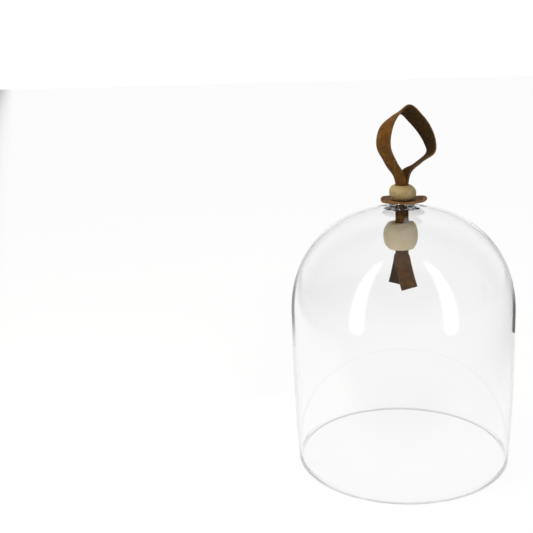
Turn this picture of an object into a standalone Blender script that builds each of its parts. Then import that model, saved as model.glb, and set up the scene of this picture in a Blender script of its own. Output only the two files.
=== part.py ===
"""Glass cloche: a blown glass bell with a leather strap handle and two wooden beads.

The strap is one leather lace. Its middle is the carrying loop; both halves run down side by side
through the upper bead, the washer, the neck of the bell and the lower bead, and hang as two tails.
Metres, +Z up. The origin is the centre of the circle that the rim stands on.
"""

from math import asin, cos, hypot, pi, radians, sin

import bmesh
import bpy
import numpy as np
from mathutils import Vector

# Glass bell
SHOULDER_RADIUS = 0.110
RIM_RADIUS = 0.1065
SHOULDER_HEIGHT = 0.155
CROWN_HEIGHT = 0.2588
CROWN_SQUARENESS = 2.17  # 2 is an ellipse, more is boxier
WALL_TAPER = 4.0  # how late the wall leaves the shoulder radius on its way down to the rim
GLASS_WALL = 0.0025
RIM_ROUNDING = 0.0007
NECK_HEIGHT = 0.0032  # above the crown
NECK_WALL = 0.0059
NECK_FILLET = 0.0022
COLLAR_DEPTH = 0.0080  # the thick ring around the bore, measured down from the neck's top
COLLAR_ROUNDING = 0.0010

# Leather strap
STRAP_WIDTH = 0.016
STRAP_THICKNESS = 0.0018
ROLL_ANGLE = 170.0  # how far round a bore each half of the strap is rolled, in degrees
CURL_RADIUS = STRAP_WIDTH / radians(ROLL_ANGLE)  # to the middle of its thickness

# Clearances
GAP = 0.0003  # between pieces that touch or slide on each other
BORE_RADIUS = CURL_RADIUS + STRAP_THICKNESS / 2 + GAP
NECK_RADIUS = BORE_RADIUS + NECK_WALL

# Leather washer
WASHER_RADIUS = 0.0223
WASHER_THICKNESS = 0.0020
WASHER_DISH = 0.0020  # how far its edge is curled up
WASHER_LAND = 0.0024  # the flat ring around its hole

# Wooden beads
UPPER_BEAD_RADIUS = 0.0130
UPPER_BEAD_HEIGHT = 0.0144
UPPER_BEAD_SQUARENESS = 2.3
UPPER_BEAD_LAND = 0.0008  # the flat ring around its bore
LOWER_BEAD_RADIUS = 0.0167
LOWER_BEAD_HEIGHT = 0.0255
LOWER_BEAD_SQUARENESS = 2.0
LOWER_BEAD_LAND = 0.0034
BEAD_MOUTH = 0.0008  # rounding of a bead's bore edge

# Where the pieces of the handle come, from the neck upwards and downwards
HANDLE_LIFT = 0.0112  # how far the handle rises before the lower bead meets the collar
NECK_TOP = CROWN_HEIGHT + NECK_HEIGHT
WASHER_BOTTOM = NECK_TOP + GAP
UPPER_BEAD_BOTTOM = WASHER_BOTTOM + WASHER_THICKNESS + GAP
UPPER_BEAD_TOP = UPPER_BEAD_BOTTOM + UPPER_BEAD_HEIGHT
COLLAR_BOTTOM = NECK_TOP - COLLAR_DEPTH
LOWER_BEAD_TOP = COLLAR_BOTTOM - GAP - HANDLE_LIFT
LOWER_BEAD_BOTTOM = LOWER_BEAD_TOP - LOWER_BEAD_HEIGHT

# Where the strap is free to bend: each length is measured from the bead's flat end
LOOP_HINGE = 0.0013
LOOP_START = 0.0025
TAIL_HINGE = 0.0002
TAIL_START = 0.0007
TOP_INSET = 0.0003  # how far inside the beads the two straight halves end
BOTTOM_INSET = 0.0012
TAIL_STRAIGHT = 0.0055  # kept rolled so that the lower bead can be pushed down over it

# The direction across the strap, in degrees around Z from +X
TOP_TURN = -38.0
BOTTOM_TURN = -8.0

# The loop's route: x, y and height above the upper bead, then the turn around Z and the rise of the
# direction across the strap, in degrees. The two ends are worked out from the bead.
LOOP_POINTS = (
    (-0.0050, -0.0068, 0.0095, -37, -3),
    (-0.0105, -0.0110, 0.0230, -36, -10),
    (-0.0168, -0.0140, 0.0380, -33, -6),
    (-0.0152, -0.0125, 0.0530, -37, 6),
    (-0.0080, -0.0070, 0.0640, -42, 24),
    (0.0025, 0.0010, 0.0700, -42, 33),
    (0.0134, 0.0090, 0.0612, -42, 36),
    (0.0218, 0.0160, 0.0510, -42, 28),
    (0.0278, 0.0210, 0.0385, -50, 14),
    (0.0282, 0.0215, 0.0280, -62, 8),
    (0.0155, 0.0145, 0.0190, -62, 15),
    (0.0065, 0.0080, 0.0110, -52, 6),
)
LOOP_CURL = 0.55  # the most that the loop's ends are rolled, on the way to the flat middle
LOOP_CURL_LENGTH = 0.022
LOOP_END_GAP = 0.0008  # the loop's two ends lie nearly flat together, so that it can tip over

# The tails' free ends: x and y, how far below the lower bead, turn and rise across the strap
FRONT_TAIL_END = (0.0072, -0.0120, 0.0380, 0, 15)
BACK_TAIL_END = (-0.0056, 0.0100, 0.0385, -4, 1)
TAIL_CURL_LENGTH = 0.009
TAIL_END_CURL = 0.1
TAIL_LEAN = 1.3  # 1 leans straight away from the bead, more leans later

# How finely round things are divided
BELL_STEPS = 48
CROWN_STEPS = 16
WALL_STEPS = 6
BEAD_STEPS = 24
BEAD_SIDE_STEPS = 12
WASHER_STEPS = 4
ROUNDING_STEPS = 3
MOUTH_STEPS = 2
STRAP_COLUMNS = 6
HALF_STEPS = 12
TAIL_LEANING_POINTS = 3
LEAST_CURL = 0.001  # stands for flat, where a radius would be endless
LOOP_STEPS = 3
TAIL_STEPS = 3

COLLECTION_NAME = "glass_cloche"


def start_empty():
    """Remove whatever the scene holds and make the collection for the parts."""
    for thing in list(bpy.data.objects):
        bpy.data.objects.remove(thing, do_unlink=True)
    collection = bpy.data.collections.new(COLLECTION_NAME)
    bpy.context.scene.collection.children.link(collection)
    return collection


def new_material(name, colour, roughness, transmission=0.0):
    """A Principled material with one colour."""
    material = bpy.data.materials.new(name)
    material.use_nodes = True
    shader = material.node_tree.nodes["Principled BSDF"]
    shader.inputs["Base Color"].default_value = (*colour, 1.0)
    shader.inputs["Roughness"].default_value = roughness
    shader.inputs["Metallic"].default_value = 0.0
    shader.inputs["Transmission Weight"].default_value = transmission
    return material


def add_object(name, bm, collection, material, origin=(0.0, 0.0, 0.0)):
    """Turn a bmesh in world coordinates into a named, smooth-shaded object with its origin there."""
    bmesh.ops.translate(bm, verts=bm.verts, vec=-Vector(origin))
    mesh = bpy.data.meshes.new(name)
    bm.to_mesh(mesh)
    bm.free()
    mesh.shade_smooth()
    mesh.materials.append(material)
    made = bpy.data.objects.new(name, mesh)
    made.location = origin
    collection.objects.link(made)
    return made


def arc(centre_r, centre_z, radius, start, end, steps):
    """Points of a circular arc in the r, z plane; the angles are in degrees."""
    return [
        (centre_r + radius * cos(radians(a)), centre_z + radius * sin(radians(a)))
        for a in np.linspace(start, end, steps + 1)
    ]


def turned(name, outline, steps, collection, material):
    """A body of revolution. The closed outline runs down its outer side first."""
    bm = bmesh.new()
    verts = [bm.verts.new((r, 0.0, z)) for r, z in outline]
    for here, after in zip(verts, verts[1:] + verts[:1]):
        bm.edges.new((here, after))
    made = add_object(name, bm, collection, material)
    screw = made.modifiers.new("turn", "SCREW")
    screw.steps = steps
    screw.render_steps = steps
    screw.use_merge_vertices = True
    screw.merge_threshold = 0.00001
    return made


def crown_point(angle):
    """A point on the crown's outer curve and its outward normal; 0 is the shoulder, pi/2 the top."""
    power = 2 / CROWN_SQUARENESS
    rise = CROWN_HEIGHT - SHOULDER_HEIGHT
    across = cos(angle) ** power
    up = sin(angle) ** power
    slope_r = across ** (CROWN_SQUARENESS - 1) / SHOULDER_RADIUS
    slope_z = up ** (CROWN_SQUARENESS - 1) / rise
    length = hypot(slope_r, slope_z)
    point = (SHOULDER_RADIUS * across, SHOULDER_HEIGHT + rise * up)
    return point, (slope_r / length, slope_z / length)


def crown_angle(radius):
    """The angle at which the crown's outer curve has this radius."""
    return pi / 2 - asin((radius / SHOULDER_RADIUS) ** (CROWN_SQUARENESS / 2))


def wall_radius(height):
    """The bell's outer radius below the shoulder."""
    below = 1 - height / SHOULDER_HEIGHT
    return SHOULDER_RADIUS - (SHOULDER_RADIUS - RIM_RADIUS) * below**WALL_TAPER


def bell_outline():
    """The glass wall's section: down the outside, under the rim, up the inside and the bore."""
    fillet_end = NECK_RADIUS + NECK_FILLET
    start = crown_angle(fillet_end)
    fillet_z = crown_point(start)[0][1]
    lip = NECK_TOP - fillet_z - NECK_FILLET  # what is left of the neck's side rounds its top edge
    mouth = BORE_RADIUS + COLLAR_ROUNDING
    side = NECK_RADIUS - COLLAR_ROUNDING
    points = arc(mouth, NECK_TOP - COLLAR_ROUNDING, COLLAR_ROUNDING, 180, 90, ROUNDING_STEPS)
    points += arc(NECK_RADIUS - lip, NECK_TOP - lip, lip, 90, 0, ROUNDING_STEPS)
    points += arc(fillet_end, fillet_z + NECK_FILLET, NECK_FILLET, 180, 270, ROUNDING_STEPS + 1)[1:]

    crown_angles = np.linspace(start, 0, CROWN_STEPS + 1)[1:]
    crown = [crown_point(a) for a in crown_angles]
    points += [point for point, normal in crown]
    wall_heights = np.linspace(SHOULDER_HEIGHT, RIM_ROUNDING, WALL_STEPS + 1)[1:]
    points += [(wall_radius(z), z) for z in wall_heights]

    points += arc(RIM_RADIUS - RIM_ROUNDING, RIM_ROUNDING, RIM_ROUNDING, 0, -90, ROUNDING_STEPS)[1:]
    inner_rim = RIM_RADIUS - GLASS_WALL
    points += arc(inner_rim + RIM_ROUNDING, RIM_ROUNDING, RIM_ROUNDING, -90, -180, ROUNDING_STEPS)
    points += [(wall_radius(z) - GLASS_WALL, z) for z in reversed(wall_heights[:-1])]
    points += [
        (r - GLASS_WALL * normal_r, z - GLASS_WALL * normal_z)
        for (r, z), (normal_r, normal_z) in reversed(crown)
    ]

    points += arc(side, COLLAR_BOTTOM + COLLAR_ROUNDING, COLLAR_ROUNDING, 0, -90, ROUNDING_STEPS)
    points += arc(mouth, COLLAR_BOTTOM + COLLAR_ROUNDING, COLLAR_ROUNDING, 270, 180, ROUNDING_STEPS)
    return points


def washer_outline():
    """The washer's section: flat around its hole, curled up towards its edge."""
    flat_radius = BORE_RADIUS + WASHER_LAND

    def rise(radius):
        outwards = max(0.0, radius - flat_radius) / (WASHER_RADIUS - flat_radius)
        return WASHER_DISH * outwards**2

    rounding = WASHER_THICKNESS / 2
    edge = WASHER_RADIUS - rounding
    radii = [BORE_RADIUS, *np.linspace(flat_radius, edge, WASHER_STEPS + 1)]
    points = [(r, WASHER_BOTTOM + WASHER_THICKNESS + rise(r)) for r in radii[:-1]]
    points += arc(edge, WASHER_BOTTOM + rounding + rise(edge), rounding, 90, -90, WASHER_STEPS)
    points += [(r, WASHER_BOTTOM + rise(r)) for r in reversed(radii[:-1])]
    return points


def bead_outline(bottom, height, radius, squareness, land):
    """A bead's section: an oval with flat ends and a straight bore with rounded mouths."""
    half = height / 2
    mouth = BORE_RADIUS + BEAD_MOUTH
    flat_radius = mouth + land
    flat_share = (1 - (flat_radius / radius) ** squareness) ** (1 / squareness)
    reach = asin(flat_share ** (squareness / 2))
    points = arc(mouth, bottom + height - BEAD_MOUTH, BEAD_MOUTH, 180, 90, MOUTH_STEPS)
    for a in np.linspace(reach, -reach, BEAD_SIDE_STEPS + 1):
        up = abs(sin(a)) ** (2 / squareness) * (1 if a > 0 else -1)
        points.append((radius * cos(a) ** (2 / squareness), bottom + half + half * up / flat_share))
    points += arc(mouth, bottom + BEAD_MOUTH, BEAD_MOUTH, 270, 180, MOUTH_STEPS)
    return points


def across_direction(turn, rise):
    """The unit vector across the strap for a turn around Z and a rise, both in degrees."""
    flat = cos(radians(rise))
    return Vector((flat * cos(radians(turn)), flat * sin(radians(turn)), sin(radians(rise))))


def outward(turn):
    """The direction in which the front half of the strap faces."""
    return Vector((sin(radians(turn)), -cos(radians(turn)), 0.0))


def through_points(points, steps):
    """A smooth curve through the points (Catmull-Rom), as rows of numbers."""
    rows = np.array(points, float)
    rows = np.vstack([2 * rows[0] - rows[1], rows, 2 * rows[-1] - rows[-2]])
    found = []
    for p0, p1, p2, p3 in zip(rows, rows[1:], rows[2:], rows[3:]):
        for t in np.arange(steps) / steps:
            slope = p2 - p0
            bend = 2 * p0 - 5 * p1 + 4 * p2 - p3
            twist = 3 * p1 - p0 - 3 * p2 + p3
            found.append(p1 + (slope * t + bend * t**2 + twist * t**3) / 2)
    found.append(rows[-2])
    return np.array(found)


def strip(name, route, curl_at, origin, collection, material):
    """A length of strap along a route of (x, y, z, turn, rise). curl_at gives how rolled it is, from 0,
    flat, to 1, a half tube, for the distances from its two ends. origin is where it hinges."""
    path = [Vector(row[:3]) for row in route]
    ahead = [(b - a).normalized() for a, b in zip([path[0], *path[:-1]], [*path[1:], path[-1]])]
    travelled = np.cumsum([0.0] + [(b - a).length for a, b in zip(path, path[1:])])
    bm = bmesh.new()
    rows = []
    for row, centre, along, gone in zip(route, path, ahead, travelled):
        across = across_direction(row[3], row[4])
        across = (across - across.dot(along) * along).normalized()
        facing = across.cross(along)
        bend = max(curl_at(gone, travelled[-1] - gone), LEAST_CURL) / CURL_RADIUS
        verts = []
        for s in np.linspace(-STRAP_WIDTH / 2, STRAP_WIDTH / 2, STRAP_COLUMNS + 1):
            aside = across * (sin(bend * s) / bend)
            back = facing * ((cos(bend * s) - 1) / bend)
            verts.append(bm.verts.new(centre + aside + back))
        rows.append(verts)
    for row_a, row_b in zip(rows, rows[1:]):
        for a, b, c, d in zip(row_a, row_a[1:], row_b[1:], row_b):
            bm.faces.new((a, b, c, d))
    made = add_object(name, bm, collection, material, origin)
    solid = made.modifiers.new("leather", "SOLIDIFY")
    solid.thickness = STRAP_THICKNESS
    solid.offset = 0.0
    return made


def straight_half(name, side, collection, material):
    """One half of the strap inside the beads and the neck, rolled into a half tube."""
    bottom = LOWER_BEAD_BOTTOM + BOTTOM_INSET
    top = UPPER_BEAD_TOP - TOP_INSET
    route = []
    for share in np.linspace(0, 1, HALF_STEPS + 1):
        turn = BOTTOM_TURN + (TOP_TURN - BOTTOM_TURN) * share
        place = side * CURL_RADIUS * outward(turn)
        reverse = 0 if side > 0 else 180
        route.append((place.x, place.y, bottom + (top - bottom) * share, turn + reverse, 0.0))
    return strip(name, route, lambda start, end: 1.0, (0.0, 0.0, 0.0), collection, material)


def loop(name, collection, material):
    """The carrying loop above the upper bead."""
    end = (STRAP_THICKNESS + LOOP_END_GAP) / 2 * outward(TOP_TURN)
    points = [(end.x, end.y, LOOP_START, TOP_TURN, 0.0)]
    points += LOOP_POINTS
    points += [(-end.x, -end.y, LOOP_START, TOP_TURN, 0.0)]
    route = through_points(points, LOOP_STEPS)
    route[:, 2] += UPPER_BEAD_TOP

    def curl_at(start, end):
        rolled_in = min(start, end) / LOOP_CURL_LENGTH
        return LOOP_CURL * sin(pi * min(rolled_in, 1.0))

    hinge = (0.0, 0.0, UPPER_BEAD_TOP + LOOP_HINGE)
    return strip(name, route, curl_at, hinge, collection, material)


def tail(name, side, end, collection, material):
    """One free end of the strap below the lower bead."""
    place = side * CURL_RADIUS * outward(BOTTOM_TURN)
    end_x, end_y, end_depth, end_turn, end_rise = end
    points = []
    for depth in (TAIL_START, TAIL_STRAIGHT / 2, TAIL_STRAIGHT):
        points.append((place.x, place.y, depth, BOTTOM_TURN, 0.0))
    for share in np.linspace(1 / TAIL_LEANING_POINTS, 1, TAIL_LEANING_POINTS):
        lean = share**TAIL_LEAN
        points.append(
            (
                place.x + (end_x - place.x) * lean,
                place.y + (end_y - place.y) * lean,
                TAIL_STRAIGHT + (end_depth - TAIL_STRAIGHT) * share,
                BOTTOM_TURN + (end_turn - BOTTOM_TURN) * share,
                end_rise * share,
            )
        )
    route = [
        (x, y, LOWER_BEAD_BOTTOM - depth, turn + (180 if side > 0 else 0), -side * rise)
        for x, y, depth, turn, rise in through_points(points, TAIL_STEPS)
    ]

    def curl_at(start, end):
        flattened = (start - TAIL_STRAIGHT) / TAIL_CURL_LENGTH
        return 1.0 - (1.0 - TAIL_END_CURL) * min(max(flattened, 0.0), 1.0)

    hinge = (place.x, place.y, LOWER_BEAD_BOTTOM - TAIL_HINGE)
    return strip(name, route, curl_at, hinge, collection, material)


def hang_on(parent, *children):
    """Parent pieces to the piece that carries them, in place."""
    for child in children:
        child.parent = parent


def build():
    """Make every piece of the cloche and hang each on the piece that it moves with."""
    collection = start_empty()
    glass = new_material("clear_glass", (0.93, 0.96, 0.96), 0.02, transmission=1.0)
    wood = new_material("pale_wood", (0.46, 0.38, 0.24), 0.65)
    leather = new_material("brown_leather", (0.11, 0.055, 0.02), 0.7)

    bell = turned("glass_bell", bell_outline(), BELL_STEPS, collection, glass)
    washer = turned("leather_washer", washer_outline(), BEAD_STEPS, collection, leather)
    upper_outline = bead_outline(
        UPPER_BEAD_BOTTOM, UPPER_BEAD_HEIGHT, UPPER_BEAD_RADIUS, UPPER_BEAD_SQUARENESS, UPPER_BEAD_LAND
    )
    upper_bead = turned("upper_bead", upper_outline, BEAD_STEPS, collection, wood)
    lower_outline = bead_outline(
        LOWER_BEAD_BOTTOM, LOWER_BEAD_HEIGHT, LOWER_BEAD_RADIUS, LOWER_BEAD_SQUARENESS, LOWER_BEAD_LAND
    )
    lower_bead = turned("lower_bead", lower_outline, BEAD_STEPS, collection, wood)

    front_half = straight_half("strap_front_half", 1, collection, leather)
    back_half = straight_half("strap_back_half", -1, collection, leather)
    carrying_loop = loop("strap_loop", collection, leather)
    front_tail = tail("strap_front_tail", 1, FRONT_TAIL_END, collection, leather)
    back_tail = tail("strap_back_tail", -1, BACK_TAIL_END, collection, leather)

    hang_on(bell, washer)
    hang_on(washer, front_half)
    hang_on(front_half, back_half, carrying_loop, front_tail, back_tail, upper_bead, lower_bead)


build()
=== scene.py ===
# %% [markdown]
# # A glass cloche with a leather strap handle
#
# A bell of blown glass stands on its open rim. Its handle is one leather lace, folded in half: the fold
# is the carrying loop, and both halves run down side by side through a small wooden bead, a leather
# washer, the neck of the bell and a larger wooden bead, and hang inside as two tails.
#
# This lesson builds the looks around the imported model of the part. The imported model is the fixed frame:
# every new piece stands for one of its nodes, and all but the loop and the two tails ride on one of its
# bodies. Sizes are in metres, and +Z is up.

# %% Load the frame
from math import asin, atan2, cos, hypot, pi, radians, sin

import bmesh
import bpy
import numpy as np
from mathutils import Matrix, Vector


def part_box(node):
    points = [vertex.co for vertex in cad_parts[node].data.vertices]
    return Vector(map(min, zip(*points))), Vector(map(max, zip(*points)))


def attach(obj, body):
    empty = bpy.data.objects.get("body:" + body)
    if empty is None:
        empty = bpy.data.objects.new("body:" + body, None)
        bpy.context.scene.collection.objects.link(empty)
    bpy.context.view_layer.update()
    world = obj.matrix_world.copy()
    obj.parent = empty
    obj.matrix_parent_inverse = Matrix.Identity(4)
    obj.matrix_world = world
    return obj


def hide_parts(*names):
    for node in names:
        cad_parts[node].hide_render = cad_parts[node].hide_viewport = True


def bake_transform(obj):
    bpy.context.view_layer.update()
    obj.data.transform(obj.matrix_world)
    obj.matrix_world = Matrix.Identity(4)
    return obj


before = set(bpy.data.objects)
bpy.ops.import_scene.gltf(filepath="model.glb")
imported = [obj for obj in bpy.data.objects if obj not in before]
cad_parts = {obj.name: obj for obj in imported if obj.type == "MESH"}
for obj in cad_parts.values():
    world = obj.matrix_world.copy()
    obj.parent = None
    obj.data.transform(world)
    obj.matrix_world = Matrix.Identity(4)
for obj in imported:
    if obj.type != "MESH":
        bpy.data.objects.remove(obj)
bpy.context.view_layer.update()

print("nodes:", sorted(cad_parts))

# %% [markdown]
# ## The camera
#
# The cloche is looked at from in front and a little above, about 0.8 m away, and it stands to the right
# of the middle of the view. The camera could point straight at it, but then it would stand in the middle.
# Instead it is turned a little to the left, and a small roll keeps the bell's axis upright.

# %% Camera
CAMERA_DISTANCE = 0.792  # in front of the bell's axis
CAMERA_HEIGHT = 0.403
CAMERA_PITCH = 14.391  # degrees below level
CAMERA_YAW = 6.61
CAMERA_ROLL = -1.75
CAMERA_LENS = 55.94  # mm
CAMERA_SHIFT = -0.08  # as a share of the sensor's width
SENSOR_WIDTH = 36.0  # mm


def add_camera():
    """Make the camera and look through it."""
    lens = bpy.data.cameras.new("camera")
    lens.sensor_width = SENSOR_WIDTH
    lens.lens = CAMERA_LENS
    lens.shift_x = CAMERA_SHIFT
    lens.clip_start = 0.01
    lens.clip_end = 100.0
    camera = bpy.data.objects.new("camera", lens)
    bpy.context.scene.collection.objects.link(camera)
    camera.location = (0.0, -CAMERA_DISTANCE, CAMERA_HEIGHT)
    aim = Matrix.Rotation(radians(CAMERA_YAW), 4, "Z")
    aim = aim @ Matrix.Rotation(radians(90 - CAMERA_PITCH), 4, "X")
    aim = aim @ Matrix.Rotation(radians(CAMERA_ROLL), 4, "Z")
    camera.rotation_euler = aim.to_euler()
    bpy.context.scene.camera = camera
    return camera


camera = add_camera()
print("camera at", tuple(round(v, 3) for v in camera.location))

# %% [markdown]
# ## Two helpers for materials
#
# Colours are written as sRGB hex values, as a paint chart gives them, and a shader wants them linear.
# A material is a tree of nodes; one small function adds a node, sets its values and links its inputs.


# %% Material helpers
def linear(hex_colour):
    """An sRGB hex colour as linear red, green, blue and alpha."""
    parts = [int(hex_colour[i : i + 2], 16) / 255 for i in (1, 3, 5)]
    return tuple(v / 12.92 if v <= 0.04045 else ((v + 0.055) / 1.055) ** 2.4 for v in parts) + (1.0,)


def add_node(tree, kind, inputs=None, **settings):
    """Add a node. inputs gives, for a socket's name or number, a value or another node's output."""
    node = tree.nodes.new(kind)
    for name, value in settings.items():
        setattr(node, name, value)
    for socket, value in (inputs or {}).items():
        if isinstance(value, bpy.types.NodeSocket):
            tree.links.new(value, node.inputs[socket])
        else:
            node.inputs[socket].default_value = value
    return node


def new_material(name):
    """An empty node material and its tree, with only the output left."""
    material = bpy.data.materials.new(name)
    material.use_nodes = True
    tree = material.node_tree
    for node in [n for n in tree.nodes if n.type != "OUTPUT_MATERIAL"]:
        tree.nodes.remove(node)
    return material, tree


def ramp(tree, factor, stops):
    """A colour ramp through (position, hex colour) stops."""
    node = add_node(tree, "ShaderNodeValToRGB", {"Fac": factor})
    while len(node.color_ramp.elements) < len(stops):
        node.color_ramp.elements.new(0.5)
    for element, (position, colour) in zip(node.color_ramp.elements, stops):
        element.position = position
        element.color = linear(colour)
    return node.outputs["Color"]

# %% [markdown]
# ## Pieces turned on an axis
#
# The bell, both beads and the washer are round: each is one outline turned about the upright axis. A
# Screw modifier or a bmesh spin could do that. Here a small Geometry Nodes tree does it: it lays out a
# grid with one row for each point of the outline, and bends the grid round, so that the outline and the
# number of steps stay two plain inputs, and the seam and the steps are welded shut in the same tree.


# %% The turning tree
WELD_DISTANCE = 0.000001


def turning_tree():
    """A Geometry Nodes tree that turns a closed outline of x and z points once about Z."""
    tree = bpy.data.node_groups.new("turn_about_z", "GeometryNodeTree")
    for name, way, kind in (
        ("Outline", "INPUT", "NodeSocketGeometry"),
        ("Steps", "INPUT", "NodeSocketInt"),
        ("Material", "INPUT", "NodeSocketMaterial"),
        ("Geometry", "OUTPUT", "NodeSocketGeometry"),
    ):
        tree.interface.new_socket(name, in_out=way, socket_type=kind)
    given = add_node(tree, "NodeGroupInput").outputs
    outline, steps = given["Outline"], given["Steps"]
    here = add_node(tree, "GeometryNodeInputPosition").outputs[0]
    count = add_node(tree, "GeometryNodeAttributeDomainSize", {"Geometry": outline}).outputs["Point Count"]
    rows = add_node(tree, "ShaderNodeMath", {0: count, 1: 1.0}, operation="ADD").outputs[0]
    columns = add_node(tree, "ShaderNodeMath", {0: steps, 1: 1.0}, operation="ADD").outputs[0]
    grid = add_node(
        tree,
        "GeometryNodeMeshGrid",
        {"Size X": count, "Size Y": steps, "Vertices X": rows, "Vertices Y": columns},
    )
    place = add_node(tree, "ShaderNodeSeparateXYZ", {0: here}).outputs
    row = add_node(tree, "ShaderNodeMath", {0: count, 1: 0.5, 2: place["X"]}, operation="MULTIPLY_ADD")
    row = add_node(tree, "ShaderNodeMath", {0: row.outputs[0]}, operation="ROUND").outputs[0]
    row = add_node(tree, "ShaderNodeMath", {0: row, 1: count}, operation="FLOORED_MODULO").outputs[0]
    share = add_node(tree, "ShaderNodeMath", {0: place["Y"], 1: steps}, operation="DIVIDE").outputs[0]
    turn = add_node(tree, "ShaderNodeMath", {0: share, 1: 2 * pi}, operation="MULTIPLY").outputs[0]
    point = add_node(
        tree,
        "GeometryNodeSampleIndex",
        {"Geometry": outline, "Value": here, "Index": row},
        data_type="FLOAT_VECTOR",
    ).outputs[0]
    swung = add_node(
        tree,
        "ShaderNodeVectorRotate",
        {"Vector": point, "Axis": (0.0, 0.0, 1.0), "Angle": turn},
        rotation_type="AXIS_ANGLE",
    ).outputs[0]
    bent = add_node(tree, "GeometryNodeSetPosition", {"Geometry": grid.outputs["Mesh"], "Position": swung})
    welded = add_node(
        tree, "GeometryNodeMergeByDistance", {"Geometry": bent.outputs[0], "Distance": WELD_DISTANCE}
    )
    smooth = add_node(tree, "GeometryNodeSetShadeSmooth", {"Geometry": welded.outputs[0]})
    real = add_node(tree, "GeometryNodeRealizeInstances", {"Geometry": smooth.outputs[0]})
    painted = add_node(
        tree, "GeometryNodeSetMaterial", {"Geometry": real.outputs[0], "Material": given["Material"]}
    )
    add_node(tree, "NodeGroupOutput", {0: painted.outputs[0]})
    return tree


def set_input(modifier, name, value):
    """Set one of a Geometry Nodes modifier's inputs by the identifier of its socket."""
    for item in modifier.node_group.interface.items_tree:
        if item.item_type == "SOCKET" and item.in_out == "INPUT" and item.name == name:
            modifier[item.identifier] = value


def made_real(name, source, tree, values, material):
    """Run a Geometry Nodes tree on an object and keep the result as a plain mesh in a new object."""
    modifier = source.modifiers.new(tree.name, "NODES")
    modifier.node_group = tree
    for socket, value in values.items():
        set_input(modifier, socket, value)
    bpy.context.view_layer.update()
    evaluated = source.evaluated_get(bpy.context.evaluated_depsgraph_get())
    mesh = bpy.data.meshes.new_from_object(evaluated)
    source.modifiers.remove(modifier)
    mesh.name = name
    mesh.materials.clear()
    mesh.materials.append(material)
    made = bpy.data.objects.new(name, mesh)
    bpy.context.scene.collection.objects.link(made)
    return made


def face_outwards(thing):
    """Point every face of a closed mesh outwards."""
    bm = bmesh.new()
    bm.from_mesh(thing.data)
    bmesh.ops.recalc_face_normals(bm, faces=bm.faces)
    bm.to_mesh(thing.data)
    bm.free()
    thing.data.shade_smooth()


TURN_TREE = turning_tree()


def turned(name, outline, steps, material):
    """A named solid of revolution with this outline."""
    mesh = bpy.data.meshes.new(name + "_outline")
    mesh.from_pydata([(r, 0.0, z) for r, z in outline], [], [])
    blank = bpy.data.objects.new(name + "_outline", mesh)
    bpy.context.scene.collection.objects.link(blank)
    made = made_real(name, blank, TURN_TREE, {"Steps": steps, "Material": material}, material)
    bpy.data.objects.remove(blank)
    face_outwards(made)
    print(name, len(made.data.vertices), "points")
    return made


def arc(centre_r, centre_z, radius, start, end, steps):
    """Points of a circular arc in the r, z plane; the angles are in degrees."""
    return [
        (centre_r + radius * cos(radians(a)), centre_z + radius * sin(radians(a)))
        for a in np.linspace(start, end, steps + 1)
    ]


def moved(thing, rule):
    """Move every point of a mesh by a rule of its place."""
    for vertex in thing.data.vertices:
        vertex.co = rule(vertex.co.copy())
    thing.data.update()
    return thing


# %% [markdown]
# ## The glass
#
# Clear soda-lime glass, free-blown into a mould and fire-polished. It has no colour of its own worth
# naming, but light that runs along inside the wall, at the bell's edge and rim, goes through ten times
# more glass than light that crosses it, and comes out a cool grey. So the shader is plain clear glass and
# the colour comes from a little absorption in its volume, and not from a tint on the surface. Only the
# flame-polished rim is painted a faint grey as well, a painted shade so that its line shows dark on a white
# ground.

# %% Glass material
GLASS_IOR = 1.5
GLASS_ABSORPTION = 9.0  # per metre; a wall 2.5 mm thick swallows less than 2%


def clear_glass(name, colour):
    """Clear blown glass, smooth as it cooled, so its roughness is next to nothing."""
    material, tree = new_material(name)
    shader = add_node(
        tree,
        "ShaderNodeBsdfPrincipled",
        {
            "Base Color": linear(colour),
            "Roughness": 0.0,
            "IOR": GLASS_IOR,
            "Transmission Weight": 1.0,
        },
    )
    volume = add_node(
        tree, "ShaderNodeVolumeAbsorption", {"Color": linear("#7E8E96"), "Density": GLASS_ABSORPTION}
    )
    tree.links.new(shader.outputs[0], tree.nodes["Material Output"].inputs["Surface"])
    tree.links.new(volume.outputs[0], tree.nodes["Material Output"].inputs["Volume"])
    return material


GLASS = clear_glass("clear_blown_glass", "#FFFFFF")
# The rim's grey base colour is painted shade, so that the rim's line shows dark on white.
RIM_GLASS_PAINTED_GREY = clear_glass("glass_rim_painted_grey", "#D8DADA")
print("glass:", GLASS.name, RIM_GLASS_PAINTED_GREY.name)

# %% [markdown]
# ## The bell
#
# One wall 2.5 mm thick: nearly straight sides that draw in a little towards the rim, a crown that is a
# touch boxier than half an ellipse, and a thick collar round the hole at the top, where the glass was
# gathered and pierced. The outline is drawn once, down the outside, round the rim and up the inside, and
# turned. The shape follows the frame's own solid, with many more steps, because glass shows every facet.

# %% The bell
SHOULDER_RADIUS = 0.110
RIM_RADIUS = 0.1065
SHOULDER_HEIGHT = 0.155
CROWN_HEIGHT = 0.2588
CROWN_SQUARENESS = 2.17
WALL_TAPER = 4.0
GLASS_WALL = 0.0025
RIM_SWELL = 0.0004  # the rim was melted round, which left it a little thicker
RIM_FROM = 0.008  # where the swelling starts
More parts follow.
